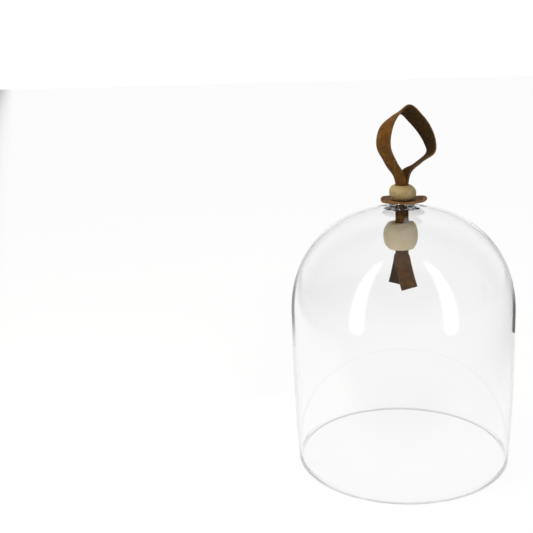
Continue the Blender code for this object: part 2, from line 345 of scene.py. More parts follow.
# Below this height the rim glass is painted grey: painted shade for the rim's dark line.
RIM_TOP = 0.0019  # the flame-polished part
NECK_RADIUS = 0.0125
NECK_TOP = 0.2620
NECK_FILLET = 0.0022
BORE_RADIUS = 0.0066
COLLAR_BOTTOM = 0.2540
COLLAR_ROUNDING = 0.0010
BELL_STEPS = 224
CROWN_POINTS = 61
WALL_POINTS = 22
SWELL_POINTS = 9
RIM_STEPS = 12
FILLET_STEPS = 8
ROUNDING_STEPS = 6
NECK_SPREAD = 0.010  # how far out from the neck the glass was worked
NECK_RIPPLE = 0.0010
NECK_RIPPLES = ((5, 0.4, 1.0), (9, 1.9, 0.6), (14, 0.0, 0.4))  # waves round the neck, phase, share
RIPPLES_ABOVE = 0.2572  # only the outside is rippled, so the bead below still meets a flat collar
BORE_KEPT = 0.002  # this close to the bore the glass stays true
WALL_WAVE = 0.00012
WALL_WAVES = ((3, 30.0, 0.0), (2, -45.0, 1.0))  # waves round the wall, twist for each metre up, phase


def crown_point(angle):
    """A point on the crown's outer curve and its outward normal; 0 is the shoulder, pi/2 the top."""
    power = 2 / CROWN_SQUARENESS
    rise = CROWN_HEIGHT - SHOULDER_HEIGHT
    across, up = cos(angle) ** power, sin(angle) ** power
    slope_r = across ** (CROWN_SQUARENESS - 1) / SHOULDER_RADIUS
    slope_z = up ** (CROWN_SQUARENESS - 1) / rise
    length = hypot(slope_r, slope_z)
    return (SHOULDER_RADIUS * across, SHOULDER_HEIGHT + rise * up), (slope_r / length, slope_z / length)


def wall_radius(height):
    """The bell's outer radius below the shoulder."""
    return SHOULDER_RADIUS - (SHOULDER_RADIUS - RIM_RADIUS) * (1 - height / SHOULDER_HEIGHT) ** WALL_TAPER


def bell_outline():
    """The wall's section, down the outside, round the rim and up the inside to the bore."""
    flare = NECK_RADIUS + NECK_FILLET
    start = pi / 2 - asin((flare / SHOULDER_RADIUS) ** (CROWN_SQUARENESS / 2))
    flare_z = crown_point(start)[0][1]
    lip = NECK_TOP - flare_z - NECK_FILLET
    mouth = BORE_RADIUS + COLLAR_ROUNDING
    points = arc(mouth, NECK_TOP - COLLAR_ROUNDING, COLLAR_ROUNDING, 180, 90, ROUNDING_STEPS)
    points += arc(NECK_RADIUS - lip, NECK_TOP - lip, lip, 90, 0, ROUNDING_STEPS)
    points += arc(flare, flare_z + NECK_FILLET, NECK_FILLET, 180, 270, FILLET_STEPS)[1:]
    crown = [crown_point(a) for a in np.linspace(start, 0, CROWN_POINTS)[1:]]
    points += [point for point, normal in crown]
    bead = GLASS_WALL / 2 + RIM_SWELL
    above = np.linspace(SHOULDER_HEIGHT, RIM_FROM, WALL_POINTS)[1:]
    below = np.linspace(RIM_FROM, bead, SWELL_POINTS)[1:]
    heights = np.concatenate([above, below])
    swell = [RIM_SWELL * max(0.0, 1 - (z - bead) / (RIM_FROM - bead)) ** 2 for z in heights]
    points += [(wall_radius(z) + more, z) for z, more in zip(heights, swell)]
    points += arc(RIM_RADIUS - GLASS_WALL / 2, bead, bead, 0, -180, RIM_STEPS)[1:-1]
    points += [(wall_radius(z) - GLASS_WALL - more, z) for z, more in reversed(list(zip(heights, swell)))]
    points += [(r - GLASS_WALL * n_r, z - GLASS_WALL * n_z) for (r, z), (n_r, n_z) in reversed(crown)]
    side = NECK_RADIUS - COLLAR_ROUNDING
    points += arc(side, COLLAR_BOTTOM + COLLAR_ROUNDING, COLLAR_ROUNDING, 0, -90, ROUNDING_STEPS)
    points += arc(mouth, COLLAR_BOTTOM + COLLAR_ROUNDING, COLLAR_ROUNDING, 270, 180, ROUNDING_STEPS)
    return points


def hand_worked(point):
    """The neck was worked by hand while the glass was soft, so it and the crown ripple a little."""
    radius = hypot(point.x, point.y)
    around = atan2(point.y, point.x)
    near_neck = max(0.0, 1 - max(0.0, radius - NECK_RADIUS) / NECK_SPREAD)
    if radius <= BORE_RADIUS + BORE_KEPT:
        near_neck = 0.0
    if point.z > RIPPLES_ABOVE:
        ripple = sum(share * sin(waves * around + phase) for waves, phase, share in NECK_RIPPLES)
        point.z -= NECK_RIPPLE * near_neck * (1 + 0.5 * ripple) / 2
    wave = sum(sin(waves * around + twist * point.z + phase) for waves, twist, phase in WALL_WAVES)
    scale = 1 + WALL_WAVE * wave * (1 - near_neck) / max(radius, NECK_RADIUS)
    point.x *= scale
    point.y *= scale
    return point


bell = turned("blown_glass_bell", bell_outline(), BELL_STEPS, GLASS)
moved(bell, hand_worked)
# The rim's lowest band gets the grey glass: painted shade for its dark line.
bell.data.materials.append(RIM_GLASS_PAINTED_GREY)
for face in bell.data.polygons:
    face.material_index = int(face.center.z < RIM_TOP)
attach(bell, "bell")
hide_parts("glass_bell")

# %% [markdown]
# ## Unfinished wood
#
# The beads are turned from a pale, close-grained wood such as beech or lotus wood, sanded and left bare.
# Bare wood scatters nearly all its light, so it is rough and has hardly any gloss. Close to, it has fine
# lines along the grain, about half a millimetre apart, small dark pores, and slow patches of warmer wood.
# The bore follows the grain, so the lines run upright over the side, and stretching a noise pattern
# along Z draws them. The lower bead hangs inside the glass, where the key light further down doesn't
# reach, so its wood is painted paler: painted light in place of the key light it misses.


# %% Wood material
GRAIN_LINES = 1700.0  # noise cells per metre across the grain
GRAIN_STRETCH = 0.07  # along it, as a share of that
PATCHES = 90.0  # patches of warmer wood per metre
LINE_STRENGTH = 0.8


def bare_wood(name, pale, warm, line):
    """Sanded bare beech: matt, with fine upright lines and soft patches of warmer wood."""
    material, tree = new_material(name)
    place = add_node(tree, "ShaderNodeTexCoord").outputs["Object"]
    along = add_node(
        tree, "ShaderNodeMapping", {"Vector": place, "Scale": (1.0, 1.0, GRAIN_STRETCH)}
    ).outputs[0]
    lines = add_node(
        tree, "ShaderNodeTexNoise", {"Vector": along, "Scale": GRAIN_LINES, "Detail": 3.0, "Roughness": 0.6}
    ).outputs["Fac"]
    patches = add_node(
        tree, "ShaderNodeTexNoise", {"Vector": place, "Scale": PATCHES, "Detail": 2.0}
    ).outputs["Fac"]
    base = ramp(tree, patches, [(0.35, pale), (0.65, warm)])
    streak = ramp(tree, lines, [(0.30, line), (0.55, "#FFFFFF")])
    colour = add_node(
        tree, "ShaderNodeMix", {0: LINE_STRENGTH, 6: base, 7: streak}, data_type="RGBA", blend_type="MULTIPLY"
    ).outputs[2]
    bump = add_node(
        tree, "ShaderNodeBump", {"Height": lines, "Strength": 0.25, "Distance": 0.0002}
    ).outputs["Normal"]
    shader = add_node(
        tree,
        "ShaderNodeBsdfPrincipled",
        {"Base Color": colour, "Roughness": 0.62, "Specular IOR Level": 0.3, "Normal": bump},
    )
    tree.links.new(shader.outputs[0], tree.nodes["Material Output"].inputs["Surface"])
    return material


UPPER_WOOD = bare_wood("bare_beech_warm", "#B9A87C", "#AC9868", "#C4B792")
# The lower bead's paler colours are painted light, standing in for the key light that misses it.
LOWER_WOOD_PAINTED_LIT = bare_wood("bare_beech_painted_lit", "#FBEBC8", "#F5E2B8", "#FBF0D8")
print("wood:", UPPER_WOOD.name, LOWER_WOOD_PAINTED_LIT.name)

# %% [markdown]
# ## The beads
#
# Both beads are short barrels with flat ends and a wide straight bore, turned on the same tree as the
# bell. The small one sits a little crooked on the washer, because the two halves of the lace pull it to
# one side. Neither was drilled quite through its middle. Only the outsides lean and shift, so that the
# bores still clear the lace.

# %% The beads
BEAD_STEPS = 96
BEAD_MOUTH = 0.0008  # rounding of the bore's mouths
MOUTH_STEPS = 5
BEAD_POINTS = 41
UPPER_RADIUS = 0.0130
UPPER_SQUARENESS = 2.3  # 2 is a plain oval
UPPER_LAND = 0.0008  # width of the flat end round the bore
UPPER_BEAD_LEAN = 4.0  # degrees
UPPER_OFF_CENTRE = 0.0007
LOWER_RADIUS = 0.0167
LOWER_SQUARENESS = 2.25
LOWER_LAND = 0.0048
LOWER_OFF_CENTRE = 0.0014


def bead_outline(bottom, height, radius, squareness, land):
    """A bead's section: an oval with flat ends and a straight bore with rounded mouths."""
    flat_radius = BORE_RADIUS + BEAD_MOUTH + land
    flat_share = (1 - (flat_radius / radius) ** squareness) ** (1 / squareness)
    reach = asin(flat_share ** (squareness / 2))
    mouth = BORE_RADIUS + BEAD_MOUTH
    points = arc(mouth, bottom + height - BEAD_MOUTH, BEAD_MOUTH, 180, 90, MOUTH_STEPS)
    for a in np.linspace(reach, -reach, BEAD_POINTS):
        up = abs(sin(a)) ** (2 / squareness) * (1 if a > 0 else -1)
        points.append((radius * cos(a) ** (2 / squareness), bottom + height / 2 * (1 + up / flat_share)))
    points += arc(mouth, bottom + BEAD_MOUTH, BEAD_MOUTH, 270, 180, MOUTH_STEPS)
    return points


def node_span(node):
    """The lowest and highest Z of a node of the frame."""
    low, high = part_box(node)
    return low.z, high.z


def out_from_bore(point, radius):
    """0 at the bore and 1 at the bead's widest."""
    return min(max((hypot(point.x, point.y) - BORE_RADIUS) / (radius - BORE_RADIUS), 0.0), 1.0)


def lean(point):
    """Tip and shift the outside of the upper bead, less and less towards its bore."""
    share = out_from_bore(point, UPPER_RADIUS)
    point.z -= point.x * radians(UPPER_BEAD_LEAN) * share
    point.x += UPPER_OFF_CENTRE * share
    return point


def off_centre(point):
    """The lower bead was drilled a little off its middle, so more of it is on the left."""
    point.x -= LOWER_OFF_CENTRE * out_from_bore(point, LOWER_RADIUS)
    return point


upper_low, upper_high = node_span("upper_bead")
upper_bead = turned(
    "wooden_upper_bead",
    bead_outline(upper_low, upper_high - upper_low, UPPER_RADIUS, UPPER_SQUARENESS, UPPER_LAND),
    BEAD_STEPS,
    UPPER_WOOD,
)
moved(upper_bead, lean)
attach(upper_bead, "upper_bead")
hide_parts("upper_bead")

lower_low, lower_high = node_span("lower_bead")
lower_bead = turned(
    "wooden_lower_bead",
    bead_outline(lower_low, lower_high - lower_low, LOWER_RADIUS, LOWER_SQUARENESS, LOWER_LAND),
    BEAD_STEPS,
    LOWER_WOOD_PAINTED_LIT,
)
moved(lower_bead, off_centre)
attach(lower_bead, "lower_bead")
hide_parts("lower_bead")

# %% [markdown]
# ## Leather
#
# The lace is waxed cowhide about 1.8 mm thick. Its grain side is sueded and waxed: a mid brown that goes
# golden where the wax has been rubbed thin, with a fine nap and small scuffs. Its flesh side is coarser,
# with fibres that lie along the lace, and darker: partly its own colour and partly painted shade, as the limb
# that shows it faces away from the light. The cut edge shows the pale middle of the hide. Each
# side gets its own material. All three read the lace's own map, which runs one unit for each width of
# the lace, so that the grain follows the lace round its bends.


# %% Leather materials
LACE_WIDTH = 0.016
GRAIN_CELLS = 40.0  # wrinkle cells across one width, 0.4 mm each
FIBRE_CELLS = 26.0  # fibres across one width, 0.6 mm each
NAP_SHARE = 0.42  # the nap's part in the colour; slow mottling has the rest


def lace_map(tree):
    """The lace's own map: across and along it, in widths."""
    return add_node(tree, "ShaderNodeUVMap", uv_map="lace").outputs["UV"]


def leather_side(name, dark, middle, light, cells, stretch, roughness, bump_depth, sheen):
    """One side of a waxed suede: a mottled brown with a fine nap that catches light at its edge."""
    material, tree = new_material(name)
    place = lace_map(tree)
    along = add_node(tree, "ShaderNodeMapping", {"Vector": place, "Scale": (1.0, stretch, 1.0)}).outputs[0]
    nap = add_node(
        tree, "ShaderNodeTexNoise", {"Vector": along, "Scale": cells, "Detail": 4.0, "Roughness": 0.65}
    ).outputs["Fac"]
    mottle = add_node(
        tree, "ShaderNodeTexNoise", {"Vector": place, "Scale": 2.2, "Detail": 5.0, "Roughness": 0.62}
    ).outputs["Fac"]
    blend = add_node(tree, "ShaderNodeMix", {0: NAP_SHARE, 2: mottle, 3: nap}, data_type="FLOAT").outputs[0]
    colour = ramp(tree, blend, [(0.32, dark), (0.5, middle), (0.7, light)])
    bump = add_node(
        tree, "ShaderNodeBump", {"Height": nap, "Strength": 0.7, "Distance": bump_depth}
    ).outputs["Normal"]
    shader = add_node(
        tree,
        "ShaderNodeBsdfPrincipled",
        {
            "Base Color": colour,
            "Roughness": roughness,
            "Specular IOR Level": 0.16,
            "Sheen Weight": sheen,
            "Sheen Roughness": 0.5,
            "Sheen Tint": linear("#C89A62"),
            "Normal": bump,
        },
    )
    tree.links.new(shader.outputs[0], tree.nodes["Material Output"].inputs["Surface"])
    return material


GRAIN_SIDE = leather_side(
    "waxed_leather_grain_side", "#482C0D", "#634017", "#8A6224",
    cells=GRAIN_CELLS,
    stretch=0.8,
    roughness=0.8,
    bump_depth=0.0002,
    sheen=0.06,
)
# The flesh side's dark browns are partly its own colour and partly painted shade for the limb that faces
# away.
FLESH_SIDE_WITH_PAINTED_SHADE = leather_side(
    "suede_leather_flesh_side_painted_shade", "#39270F", "#402C13", "#483217",
    cells=FIBRE_CELLS,
    stretch=0.35,
    roughness=0.9,
    bump_depth=0.00005,
    sheen=0.05,
)
CUT_EDGE = leather_side(
    "raw_leather_cut_edge", "#4E351A", "#6B4A26", "#866238",
    cells=GRAIN_CELLS,
    stretch=1.0,
    roughness=0.8,
    bump_depth=0.0002,
    sheen=0.05,
)
print("leather:", GRAIN_SIDE.name, FLESH_SIDE_WITH_PAINTED_SHADE.name, CUT_EDGE.name)

# %% [markdown]
# ## A length of lace
#
# Each length of lace is a flat strip with its own path and its own twist. Where it goes through a bore it
# is rolled into half a tube, and it opens out flat within a couple of widths. The strip is lofted along
# its path from one closed section with rounded edges, and every point keeps its place on the lace in a
# map, so the three leathers above can follow it.


# %% Lofting the lace
LACE_THICKNESS = 0.0018
CURL_ANGLE = 170.0  # how much of a circle a fully rolled lace fills, in degrees
CURL_RADIUS = LACE_WIDTH / radians(CURL_ANGLE)
LACE_COLUMNS = 14
EDGE_STEPS = 4
EDGE_BULGE = 0.6  # how far the rounded edge stands out, as a share of half the thickness
LEAST_CURL = 0.001  # a flat lace is rolled this little, because its bend is divided by


def through_points(points, steps):
    """A smooth curve through the points (Catmull-Rom), as rows of numbers."""
    rows = np.array(points, float)
    rows = np.vstack([2 * rows[0] - rows[1], rows, 2 * rows[-1] - rows[-2]])
    found = []
    for p0, p1, p2, p3 in zip(rows, rows[1:], rows[2:], rows[3:]):
        for t in np.arange(steps) / steps:
            bend = (p2 - p0) * t + (2 * p0 - 5 * p1 + 4 * p2 - p3) * t**2
            found.append(p1 + (bend + (3 * p1 - p0 - 3 * p2 + p3) * t**3) / 2)
    found.append(rows[-2])
    return np.array(found)


def lace_section():
    """The section of a flat lace as (across, out, side) points; side is 0 grain, 1 flesh, 2 edge."""
    half = LACE_WIDTH / 2
    edge = LACE_THICKNESS / 2
    inset = half - edge * EDGE_BULGE
    points = [(s, edge, 0) for s in np.linspace(-inset, inset, LACE_COLUMNS + 1)]
    for a in np.linspace(90, -90, EDGE_STEPS + 1)[1:-1]:
        points.append((inset + EDGE_BULGE * edge * cos(radians(a)), edge * sin(radians(a)), 2))
    points += [(s, -edge, 1) for s in np.linspace(inset, -inset, LACE_COLUMNS + 1)]
    for a in np.linspace(270, 90, EDGE_STEPS + 1)[1:-1]:
        points.append((-inset + EDGE_BULGE * edge * cos(radians(a)), edge * sin(radians(a)), 2))
    return points


def lace(name, route, curl_at):
    """A length of lace along a route of rows (x, y, z, turn, rise).

    curl_at gives how rolled it is, from 0 to 1, for the distances from its two ends. The grain side faces
    the cross product of the directions across and along the lace.
    """
    path = [Vector(row[:3]) for row in route]
    ahead = [(b - a).normalized() for a, b in zip([path[0], *path[:-1]], [*path[1:], path[-1]])]
    gone = np.cumsum([0.0] + [(b - a).length for a, b in zip(path, path[1:])])
    section = lace_section()
    bm = bmesh.new()
    uv = bm.loops.layers.uv.new("lace")
    rings, spots = [], {}
    for row, centre, along, far in zip(route, path, ahead, gone):
        turn, rise = radians(row[3]), radians(row[4])
        across = Vector((cos(rise) * cos(turn), cos(rise) * sin(turn), sin(rise)))
        across = (across - across.dot(along) * along).normalized()
        facing = across.cross(along)
        bend = max(curl_at(far, gone[-1] - far), LEAST_CURL) / CURL_RADIUS
        ring = []
        for s, out, side in section:
            turned_by = bend * s
            spot = centre + across * (sin(turned_by) / bend) + facing * ((cos(turned_by) - 1) / bend)
            spot += (facing * cos(turned_by) + across * sin(turned_by)) * out
            vert = bm.verts.new(spot)
            spots[vert] = (s / LACE_WIDTH + 0.5, far / LACE_WIDTH)
            ring.append(vert)
        rings.append(ring)
    count = len(section)
    for ring_a, ring_b in zip(rings, rings[1:]):
        for i in range(count):
            j = (i + 1) % count
            face = bm.faces.new((ring_a[i], ring_a[j], ring_b[j], ring_b[i]))
            sides = {section[i][2], section[j][2]}
            face.material_index = 2 if len(sides) > 1 else sides.pop()
    for ring in (rings[0], rings[-1]):
        bm.faces.new(ring).material_index = 2
    bmesh.ops.recalc_face_normals(bm, faces=bm.faces)
    for face in bm.faces:
        face.smooth = len(face.verts) == 4
        for loop in face.loops:
            loop[uv].uv = spots[loop.vert]
    mesh = bpy.data.meshes.new(name)
    bm.to_mesh(mesh)
    bm.free()
    for material in (GRAIN_SIDE, FLESH_SIDE_WITH_PAINTED_SHADE, CUT_EDGE):
        mesh.materials.append(material)
    made = bpy.data.objects.new(name, mesh)
    bpy.context.scene.collection.objects.link(made)
    print(name, f"{gone[-1] * 1000:.0f} mm of lace,", len(mesh.polygons), "faces")
    return made


def outward(turn):
    """The direction in which the front half of the lace faces."""
    return Vector((sin(radians(turn)), -cos(radians(turn)), 0.0))


# %% [markdown]
# ## The two halves in the bores
#
# Inside the beads and the neck the two halves are half tubes, back to back, and they turn slowly on their
# way down. They are seen only through the glass, between the neck and the lower bead.

# %% Straight halves
TOP_TURN = -38.0
BOTTOM_TURN = -8.0
HALF_ROWS = 41
HALF_INSIDE = 0.004  # the halves end this far inside the bores
HALF_LOW = lower_low + HALF_INSIDE
HALF_HIGH = upper_high - HALF_INSIDE


def straight_half(name, side):
    """One half of the lace inside the bores; side is 1 for the front half and -1 for the back."""
    route = []
    for share in np.linspace(0, 1, HALF_ROWS):
        turn = BOTTOM_TURN + (TOP_TURN - BOTTOM_TURN) * share
        spot = side * CURL_RADIUS * outward(turn)
        facing = turn + (0 if side > 0 else 180)
        route.append((spot.x, spot.y, HALF_LOW + (HALF_HIGH - HALF_LOW) * share, facing, 0.0))
    return lace(name, route, lambda start, end: 1.0)


front_half = straight_half("lace_front_half", 1)
back_half = straight_half("lace_back_half", -1)
for half, node in ((front_half, "strap_front_half"), (back_half, "strap_back_half")):
    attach(half, "strap")
    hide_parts(node)

# %% [markdown]
# ## The carrying loop
#
# The loop leaves the bead as two half tubes, front and back, opens out flat, and rises in one lopsided
# arch: the near limb leans left and shows its grain side, and past the top the lace turns over and shows
# its flesh side. The frame's loop can tip over, so its foot is blended between the lace in the bore and the
# loop; this loop rides on no body, so it stays as it is built.

# %% The loop
LOOP_DEPTHS = (-0.006, -0.003, 0.0005)  # where each rolled end starts, above the bead's top
LOOP_POINTS = (  # x, y, height above the bead, turn and rise
    (-0.0050, -0.0068, 0.0095, -37, -3),
    (-0.0105, -0.0110, 0.0230, -36, -10),
    (-0.0168, -0.0140, 0.0380, -33, -6),
    (-0.0152, -0.0125, 0.0530, -37, 6),
    (-0.0080, -0.0070, 0.0640, -42, 24),
    (0.0030, 0.0010, 0.0710, -42, 33),
    (0.0134, 0.0090, 0.0614, -42, 36),
    (0.0213, 0.0156, 0.0506, -42, 28),
    (0.0268, 0.0204, 0.0380, -50, 14),
    (0.0272, 0.0208, 0.0275, -62, 8),
    (0.0155, 0.0145, 0.0190, -62, 15),
    (0.0065, 0.0080, 0.0110, -52, 6),
)
LOOP_OPENS = 0.026  # the length in which a rolled end opens out flat
LOOP_STEPS = 9


def eased(share):
    """0 to 1 with a soft start and end."""
    share = min(max(share, 0.0), 1.0)
    return share * share * (3 - 2 * share)


def carrying_loop():
    """The loop, from inside the upper bead's bore and back into it."""
    foot = CURL_RADIUS * outward(TOP_TURN)
    points = [(foot.x, foot.y, depth, TOP_TURN, 0.0) for depth in LOOP_DEPTHS]
    points += LOOP_POINTS
    points += [(-foot.x, -foot.y, depth, TOP_TURN, 0.0) for depth in reversed(LOOP_DEPTHS)]
    route = through_points(points, LOOP_STEPS)
    route[:, 2] += upper_high
    inside = -LOOP_DEPTHS[0]

    def curl_at(start, end):
        return 1.0 - eased((min(start, end) - inside) / LOOP_OPENS)

    return lace("lace_loop", route, curl_at)


loop = carrying_loop()
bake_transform(loop)
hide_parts("strap_loop")

# %% [markdown]
# ## The two tails
#
# Below the lower bead the two halves come out as half tubes and hang as two flat tails, cut off square.
# The front one leans to the right and covers most of the back one. The frame's tails can swing outwards,
# so the top of each is blended into the lace in the bore; these tails ride on no body, so they stay as built.

# %% The tails
TAIL_INSIDE = 0.006  # the tails start this far inside the bore
FRONT_TAIL_END = (0.0072, -0.0120, 0.0380, 0, 15)  # x, y, depth below the bead, turn and rise
BACK_TAIL_END = (-0.0056, 0.0100, 0.0385, -4, 1)
TAIL_STRAIGHT = 0.0046
TAIL_CURLED = 0.0042  # still rolled this far below the bead, as the bead can slide down over it
TAIL_OPENS = 0.007
TAIL_END_CURL = 0.1
TAIL_LEAN = 1.3
TAIL_POINTS = 4
TAIL_STEPS = 9


def tail(name, side, end):
    """One hanging tail, from inside the lower bead's bore down to its cut end."""
    spot = side * CURL_RADIUS * outward(BOTTOM_TURN)
    end_x, end_y, end_depth, end_turn, end_rise = end
    depths = (-TAIL_INSIDE, -TAIL_INSIDE / 2, 0.0, TAIL_STRAIGHT)
    points = [(spot.x, spot.y, depth, BOTTOM_TURN, 0.0) for depth in depths]
    for share in np.linspace(1 / TAIL_POINTS, 1, TAIL_POINTS):
        lean_share = share**TAIL_LEAN
        points.append(
            (
                spot.x + (end_x - spot.x) * lean_share,
                spot.y + (end_y - spot.y) * lean_share,
                TAIL_STRAIGHT + (end_depth - TAIL_STRAIGHT) * share,
                BOTTOM_TURN + (end_turn - BOTTOM_TURN) * share,
                end_rise * share,
            )
        )
    route = [
        (x, y, lower_low - depth, turn + (180 if side > 0 else 0), -side * rise)
        for x, y, depth, turn, rise in through_points(points, TAIL_STEPS)
    ]

    def curl_at(start, end):
        return 1.0 - (1.0 - TAIL_END_CURL) * eased((start - TAIL_INSIDE - TAIL_CURLED) / TAIL_OPENS)

    return lace(name, route, curl_at)


front_tail = tail("lace_front_tail", 1, FRONT_TAIL_END)
back_tail = tail("lace_back_tail", -1, BACK_TAIL_END)
for piece, body, node in (
    (front_tail, "front_tail", "strap_front_tail"),
    (back_tail, "back_tail", "strap_back_tail"),
):
    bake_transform(piece)
    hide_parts(node)

# %% [markdown]
# ## The washer
#
# The washer is a disc cut from thicker leather. It keeps the handle off the glass, and with use its two
# sides have curled up, its front and back a little less, and its rim has gone wavy. It is turned flat on
# the same tree as the beads and then curled by a rule. Its rim is raw, so it is paler there.

# %% The washer
WASHER_RADIUS = 0.0223
WASHER_THICKNESS = 0.0020
WASHER_FLAT = 0.0090  # where the curl begins
SIDE_CURL = 0.0024
FRONT_CURL = 0.0015
SIDE_CURVE = 2.6  # the higher, the later the curl sets in
FRONT_CURVE = 2
WASHER_WAVE = 0.0005
WASHER_WAVES = ((3, 0.7, 1.0), (5, -0.4, 0.6))  # waves round the rim, phase, share
RAW_FROM = 0.0195  # the radii between which the face goes over into the raw rim
RAW_FULL = 0.0212
WASHER_POINTS = 13
WASHER_RIM_STEPS = 8
RIGHT_REACH = 1.08  # the disc was not cut quite round
LEFT_REACH = 0.92

washer_low, washer_high = node_span("leather_washer")


def washer_leather():
    """Thick waxed leather, brown on its faces and paler where its rim was cut."""
    material, tree = new_material("waxed_leather_washer")
    place = add_node(tree, "ShaderNodeTexCoord").outputs["Object"]
    nap = add_node(
        tree, "ShaderNodeTexNoise", {"Vector": place, "Scale": 2200.0, "Detail": 4.0, "Roughness": 0.65}
    ).outputs["Fac"]
    mottle = add_node(
        tree, "ShaderNodeTexNoise", {"Vector": place, "Scale": 190.0, "Detail": 4.0}
    ).outputs["Fac"]
    blend = add_node(tree, "ShaderNodeMix", {0: 0.4, 2: mottle, 3: nap}, data_type="FLOAT").outputs[0]
    face = ramp(tree, blend, [(0.34, "#452B13"), (0.5, "#63421E"), (0.68, "#84602E")])
    rim = ramp(tree, blend, [(0.34, "#6A4420"), (0.5, "#8C5F30"), (0.68, "#A87B45")])
    flat = add_node(tree, "ShaderNodeVectorMath", {0: place, 1: (1.0, 1.0, 0.0)}, operation="MULTIPLY")
    radius = add_node(tree, "ShaderNodeVectorMath", {0: flat.outputs[0]}, operation="LENGTH").outputs["Value"]
    at_rim = add_node(
        tree, "ShaderNodeMapRange", {"Value": radius, "From Min": RAW_FROM, "From Max": RAW_FULL}
    ).outputs[0]
    colour = add_node(tree, "ShaderNodeMix", {0: at_rim, 6: face, 7: rim}, data_type="RGBA").outputs[2]
    bump = add_node(
        tree, "ShaderNodeBump", {"Height": nap, "Strength": 0.6, "Distance": 0.0002}
    ).outputs["Normal"]
    shader = add_node(
        tree,
        "ShaderNodeBsdfPrincipled",
        {"Base Color": colour, "Roughness": 0.7, "Specular IOR Level": 0.28, "Normal": bump},
    )
    tree.links.new(shader.outputs[0], tree.nodes["Material Output"].inputs["Surface"])
    return material


def washer_outline():
    """The flat disc's section, with a rounded rim."""
    low, high = washer_low, washer_low + WASHER_THICKNESS
    rounding = WASHER_THICKNESS / 2
    edge = WASHER_RADIUS - rounding
    radii = np.linspace(BORE_RADIUS, edge, WASHER_POINTS)[:-1]
    points = [(r, high) for r in radii]
    points += arc(edge, low + rounding, rounding, 90, -90, WASHER_RIM_STEPS)
    points += [(r, low) for r in reversed(radii)]
    return points


def curled(point):
    """Curl the disc up, most at its two sides, wave its rim and reach further to the right."""
    radius = hypot(point.x, point.y)
    share = max(0.0, radius - WASHER_FLAT) / (WASHER_RADIUS - WASHER_FLAT)
    sideways = (point.x / radius) ** 2
    around = atan2(point.y, point.x)
    point.z += SIDE_CURL * sideways * share**SIDE_CURVE + FRONT_CURL * (1 - sideways) * share**FRONT_CURVE
    point.z += WASHER_WAVE * share * sum(part * sin(n * around + phase) for n, phase, part in WASHER_WAVES)
    if radius > WASHER_FLAT:
        reach = RIGHT_REACH if point.x > 0 else LEFT_REACH
        point.x *= 1 + (reach - 1) * share * sideways
    return point


washer = turned("leather_washer_curled", washer_outline(), BEAD_STEPS, washer_leather())
moved(washer, curled)
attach(washer, "washer")
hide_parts("leather_washer")

# %% [markdown]
# ## The stage
#
# Clear glass shows nothing but what is around it, so the studio is built for the glass. The cloche stands
# on a pale sweep that is bright under and behind it and dims away in front and to the sides, in a dim room
# with a bright backdrop. The walls mirror the dimmer parts, which sets the glass apart from the white
# behind it. Two tall softboxes in front draw the two long highlights on the bell, and two grey cards that
# lean back beside it draw the grey lines down its edges.
#
# Softboxes and cards could be plain lights, but then they would show through the bell from its other
# sides. So they let a ray pass that comes straight through the glass. A key light above and to the left
# lights what is outside the glass, and the glass neither mirrors it nor passes it on.


# %% Helpers for the stage
def smooth_range(tree, value, start, end, low=0.0, high=1.0):
    """The output of a smooth step between two values."""
    return add_node(
        tree,
        "ShaderNodeMapRange",
        {"Value": value, "From Min": start, "From Max": end, "To Min": low, "To Max": high},
        interpolation_type="SMOOTHSTEP",
    ).outputs[0]


def product(tree, *factors):
    """The product of several outputs."""
    total = factors[0]
    for factor in factors[1:]:
        total = add_node(tree, "ShaderNodeMath", {0: total, 1: factor}, operation="MULTIPLY").outputs[0]
    return total


def seen_straight(tree):
    """1 for a ray that came straight through clear glass, and 0 for mirrored and scattered ones."""
    path = add_node(tree, "ShaderNodeLightPath").outputs
    bounced = add_node(
        tree, "ShaderNodeMath", {0: path["Diffuse Depth"], 1: path["Glossy Depth"]}, operation="ADD"
    ).outputs[0]
    straight = add_node(tree, "ShaderNodeMath", {0: bounced, 1: 0.5}, operation="LESS_THAN").outputs[0]
    return product(tree, straight, path["Is Transmission Ray"])


def add_card(name, corners, material):
    """A flat card with four corners."""
    mesh = bpy.data.meshes.new(name)
    mesh.from_pydata(corners, [], [(0, 1, 2, 3)])
    mesh.materials.append(material)
    card = bpy.data.objects.new(name, mesh)
    bpy.context.scene.collection.objects.link(card)
    return card


# %% The sweep
FLOOR_REACH = 12.0
FLOOR_DIM = 0.40  # how bright the sweep is far from the cloche
FLOOR_BRIGHT = 0.93  # and close to it
FRONT_FADE = (-0.34, -0.16)  # dim and bright ends of the fade in front, in y
RIGHT_FADE = (0.45, 0.17)  # at the sides, in x plus the slant times y
RIGHT_SLANT = -0.155
LEFT_FADE = (-0.75, -0.43)
LEFT_SLANT = 0.47


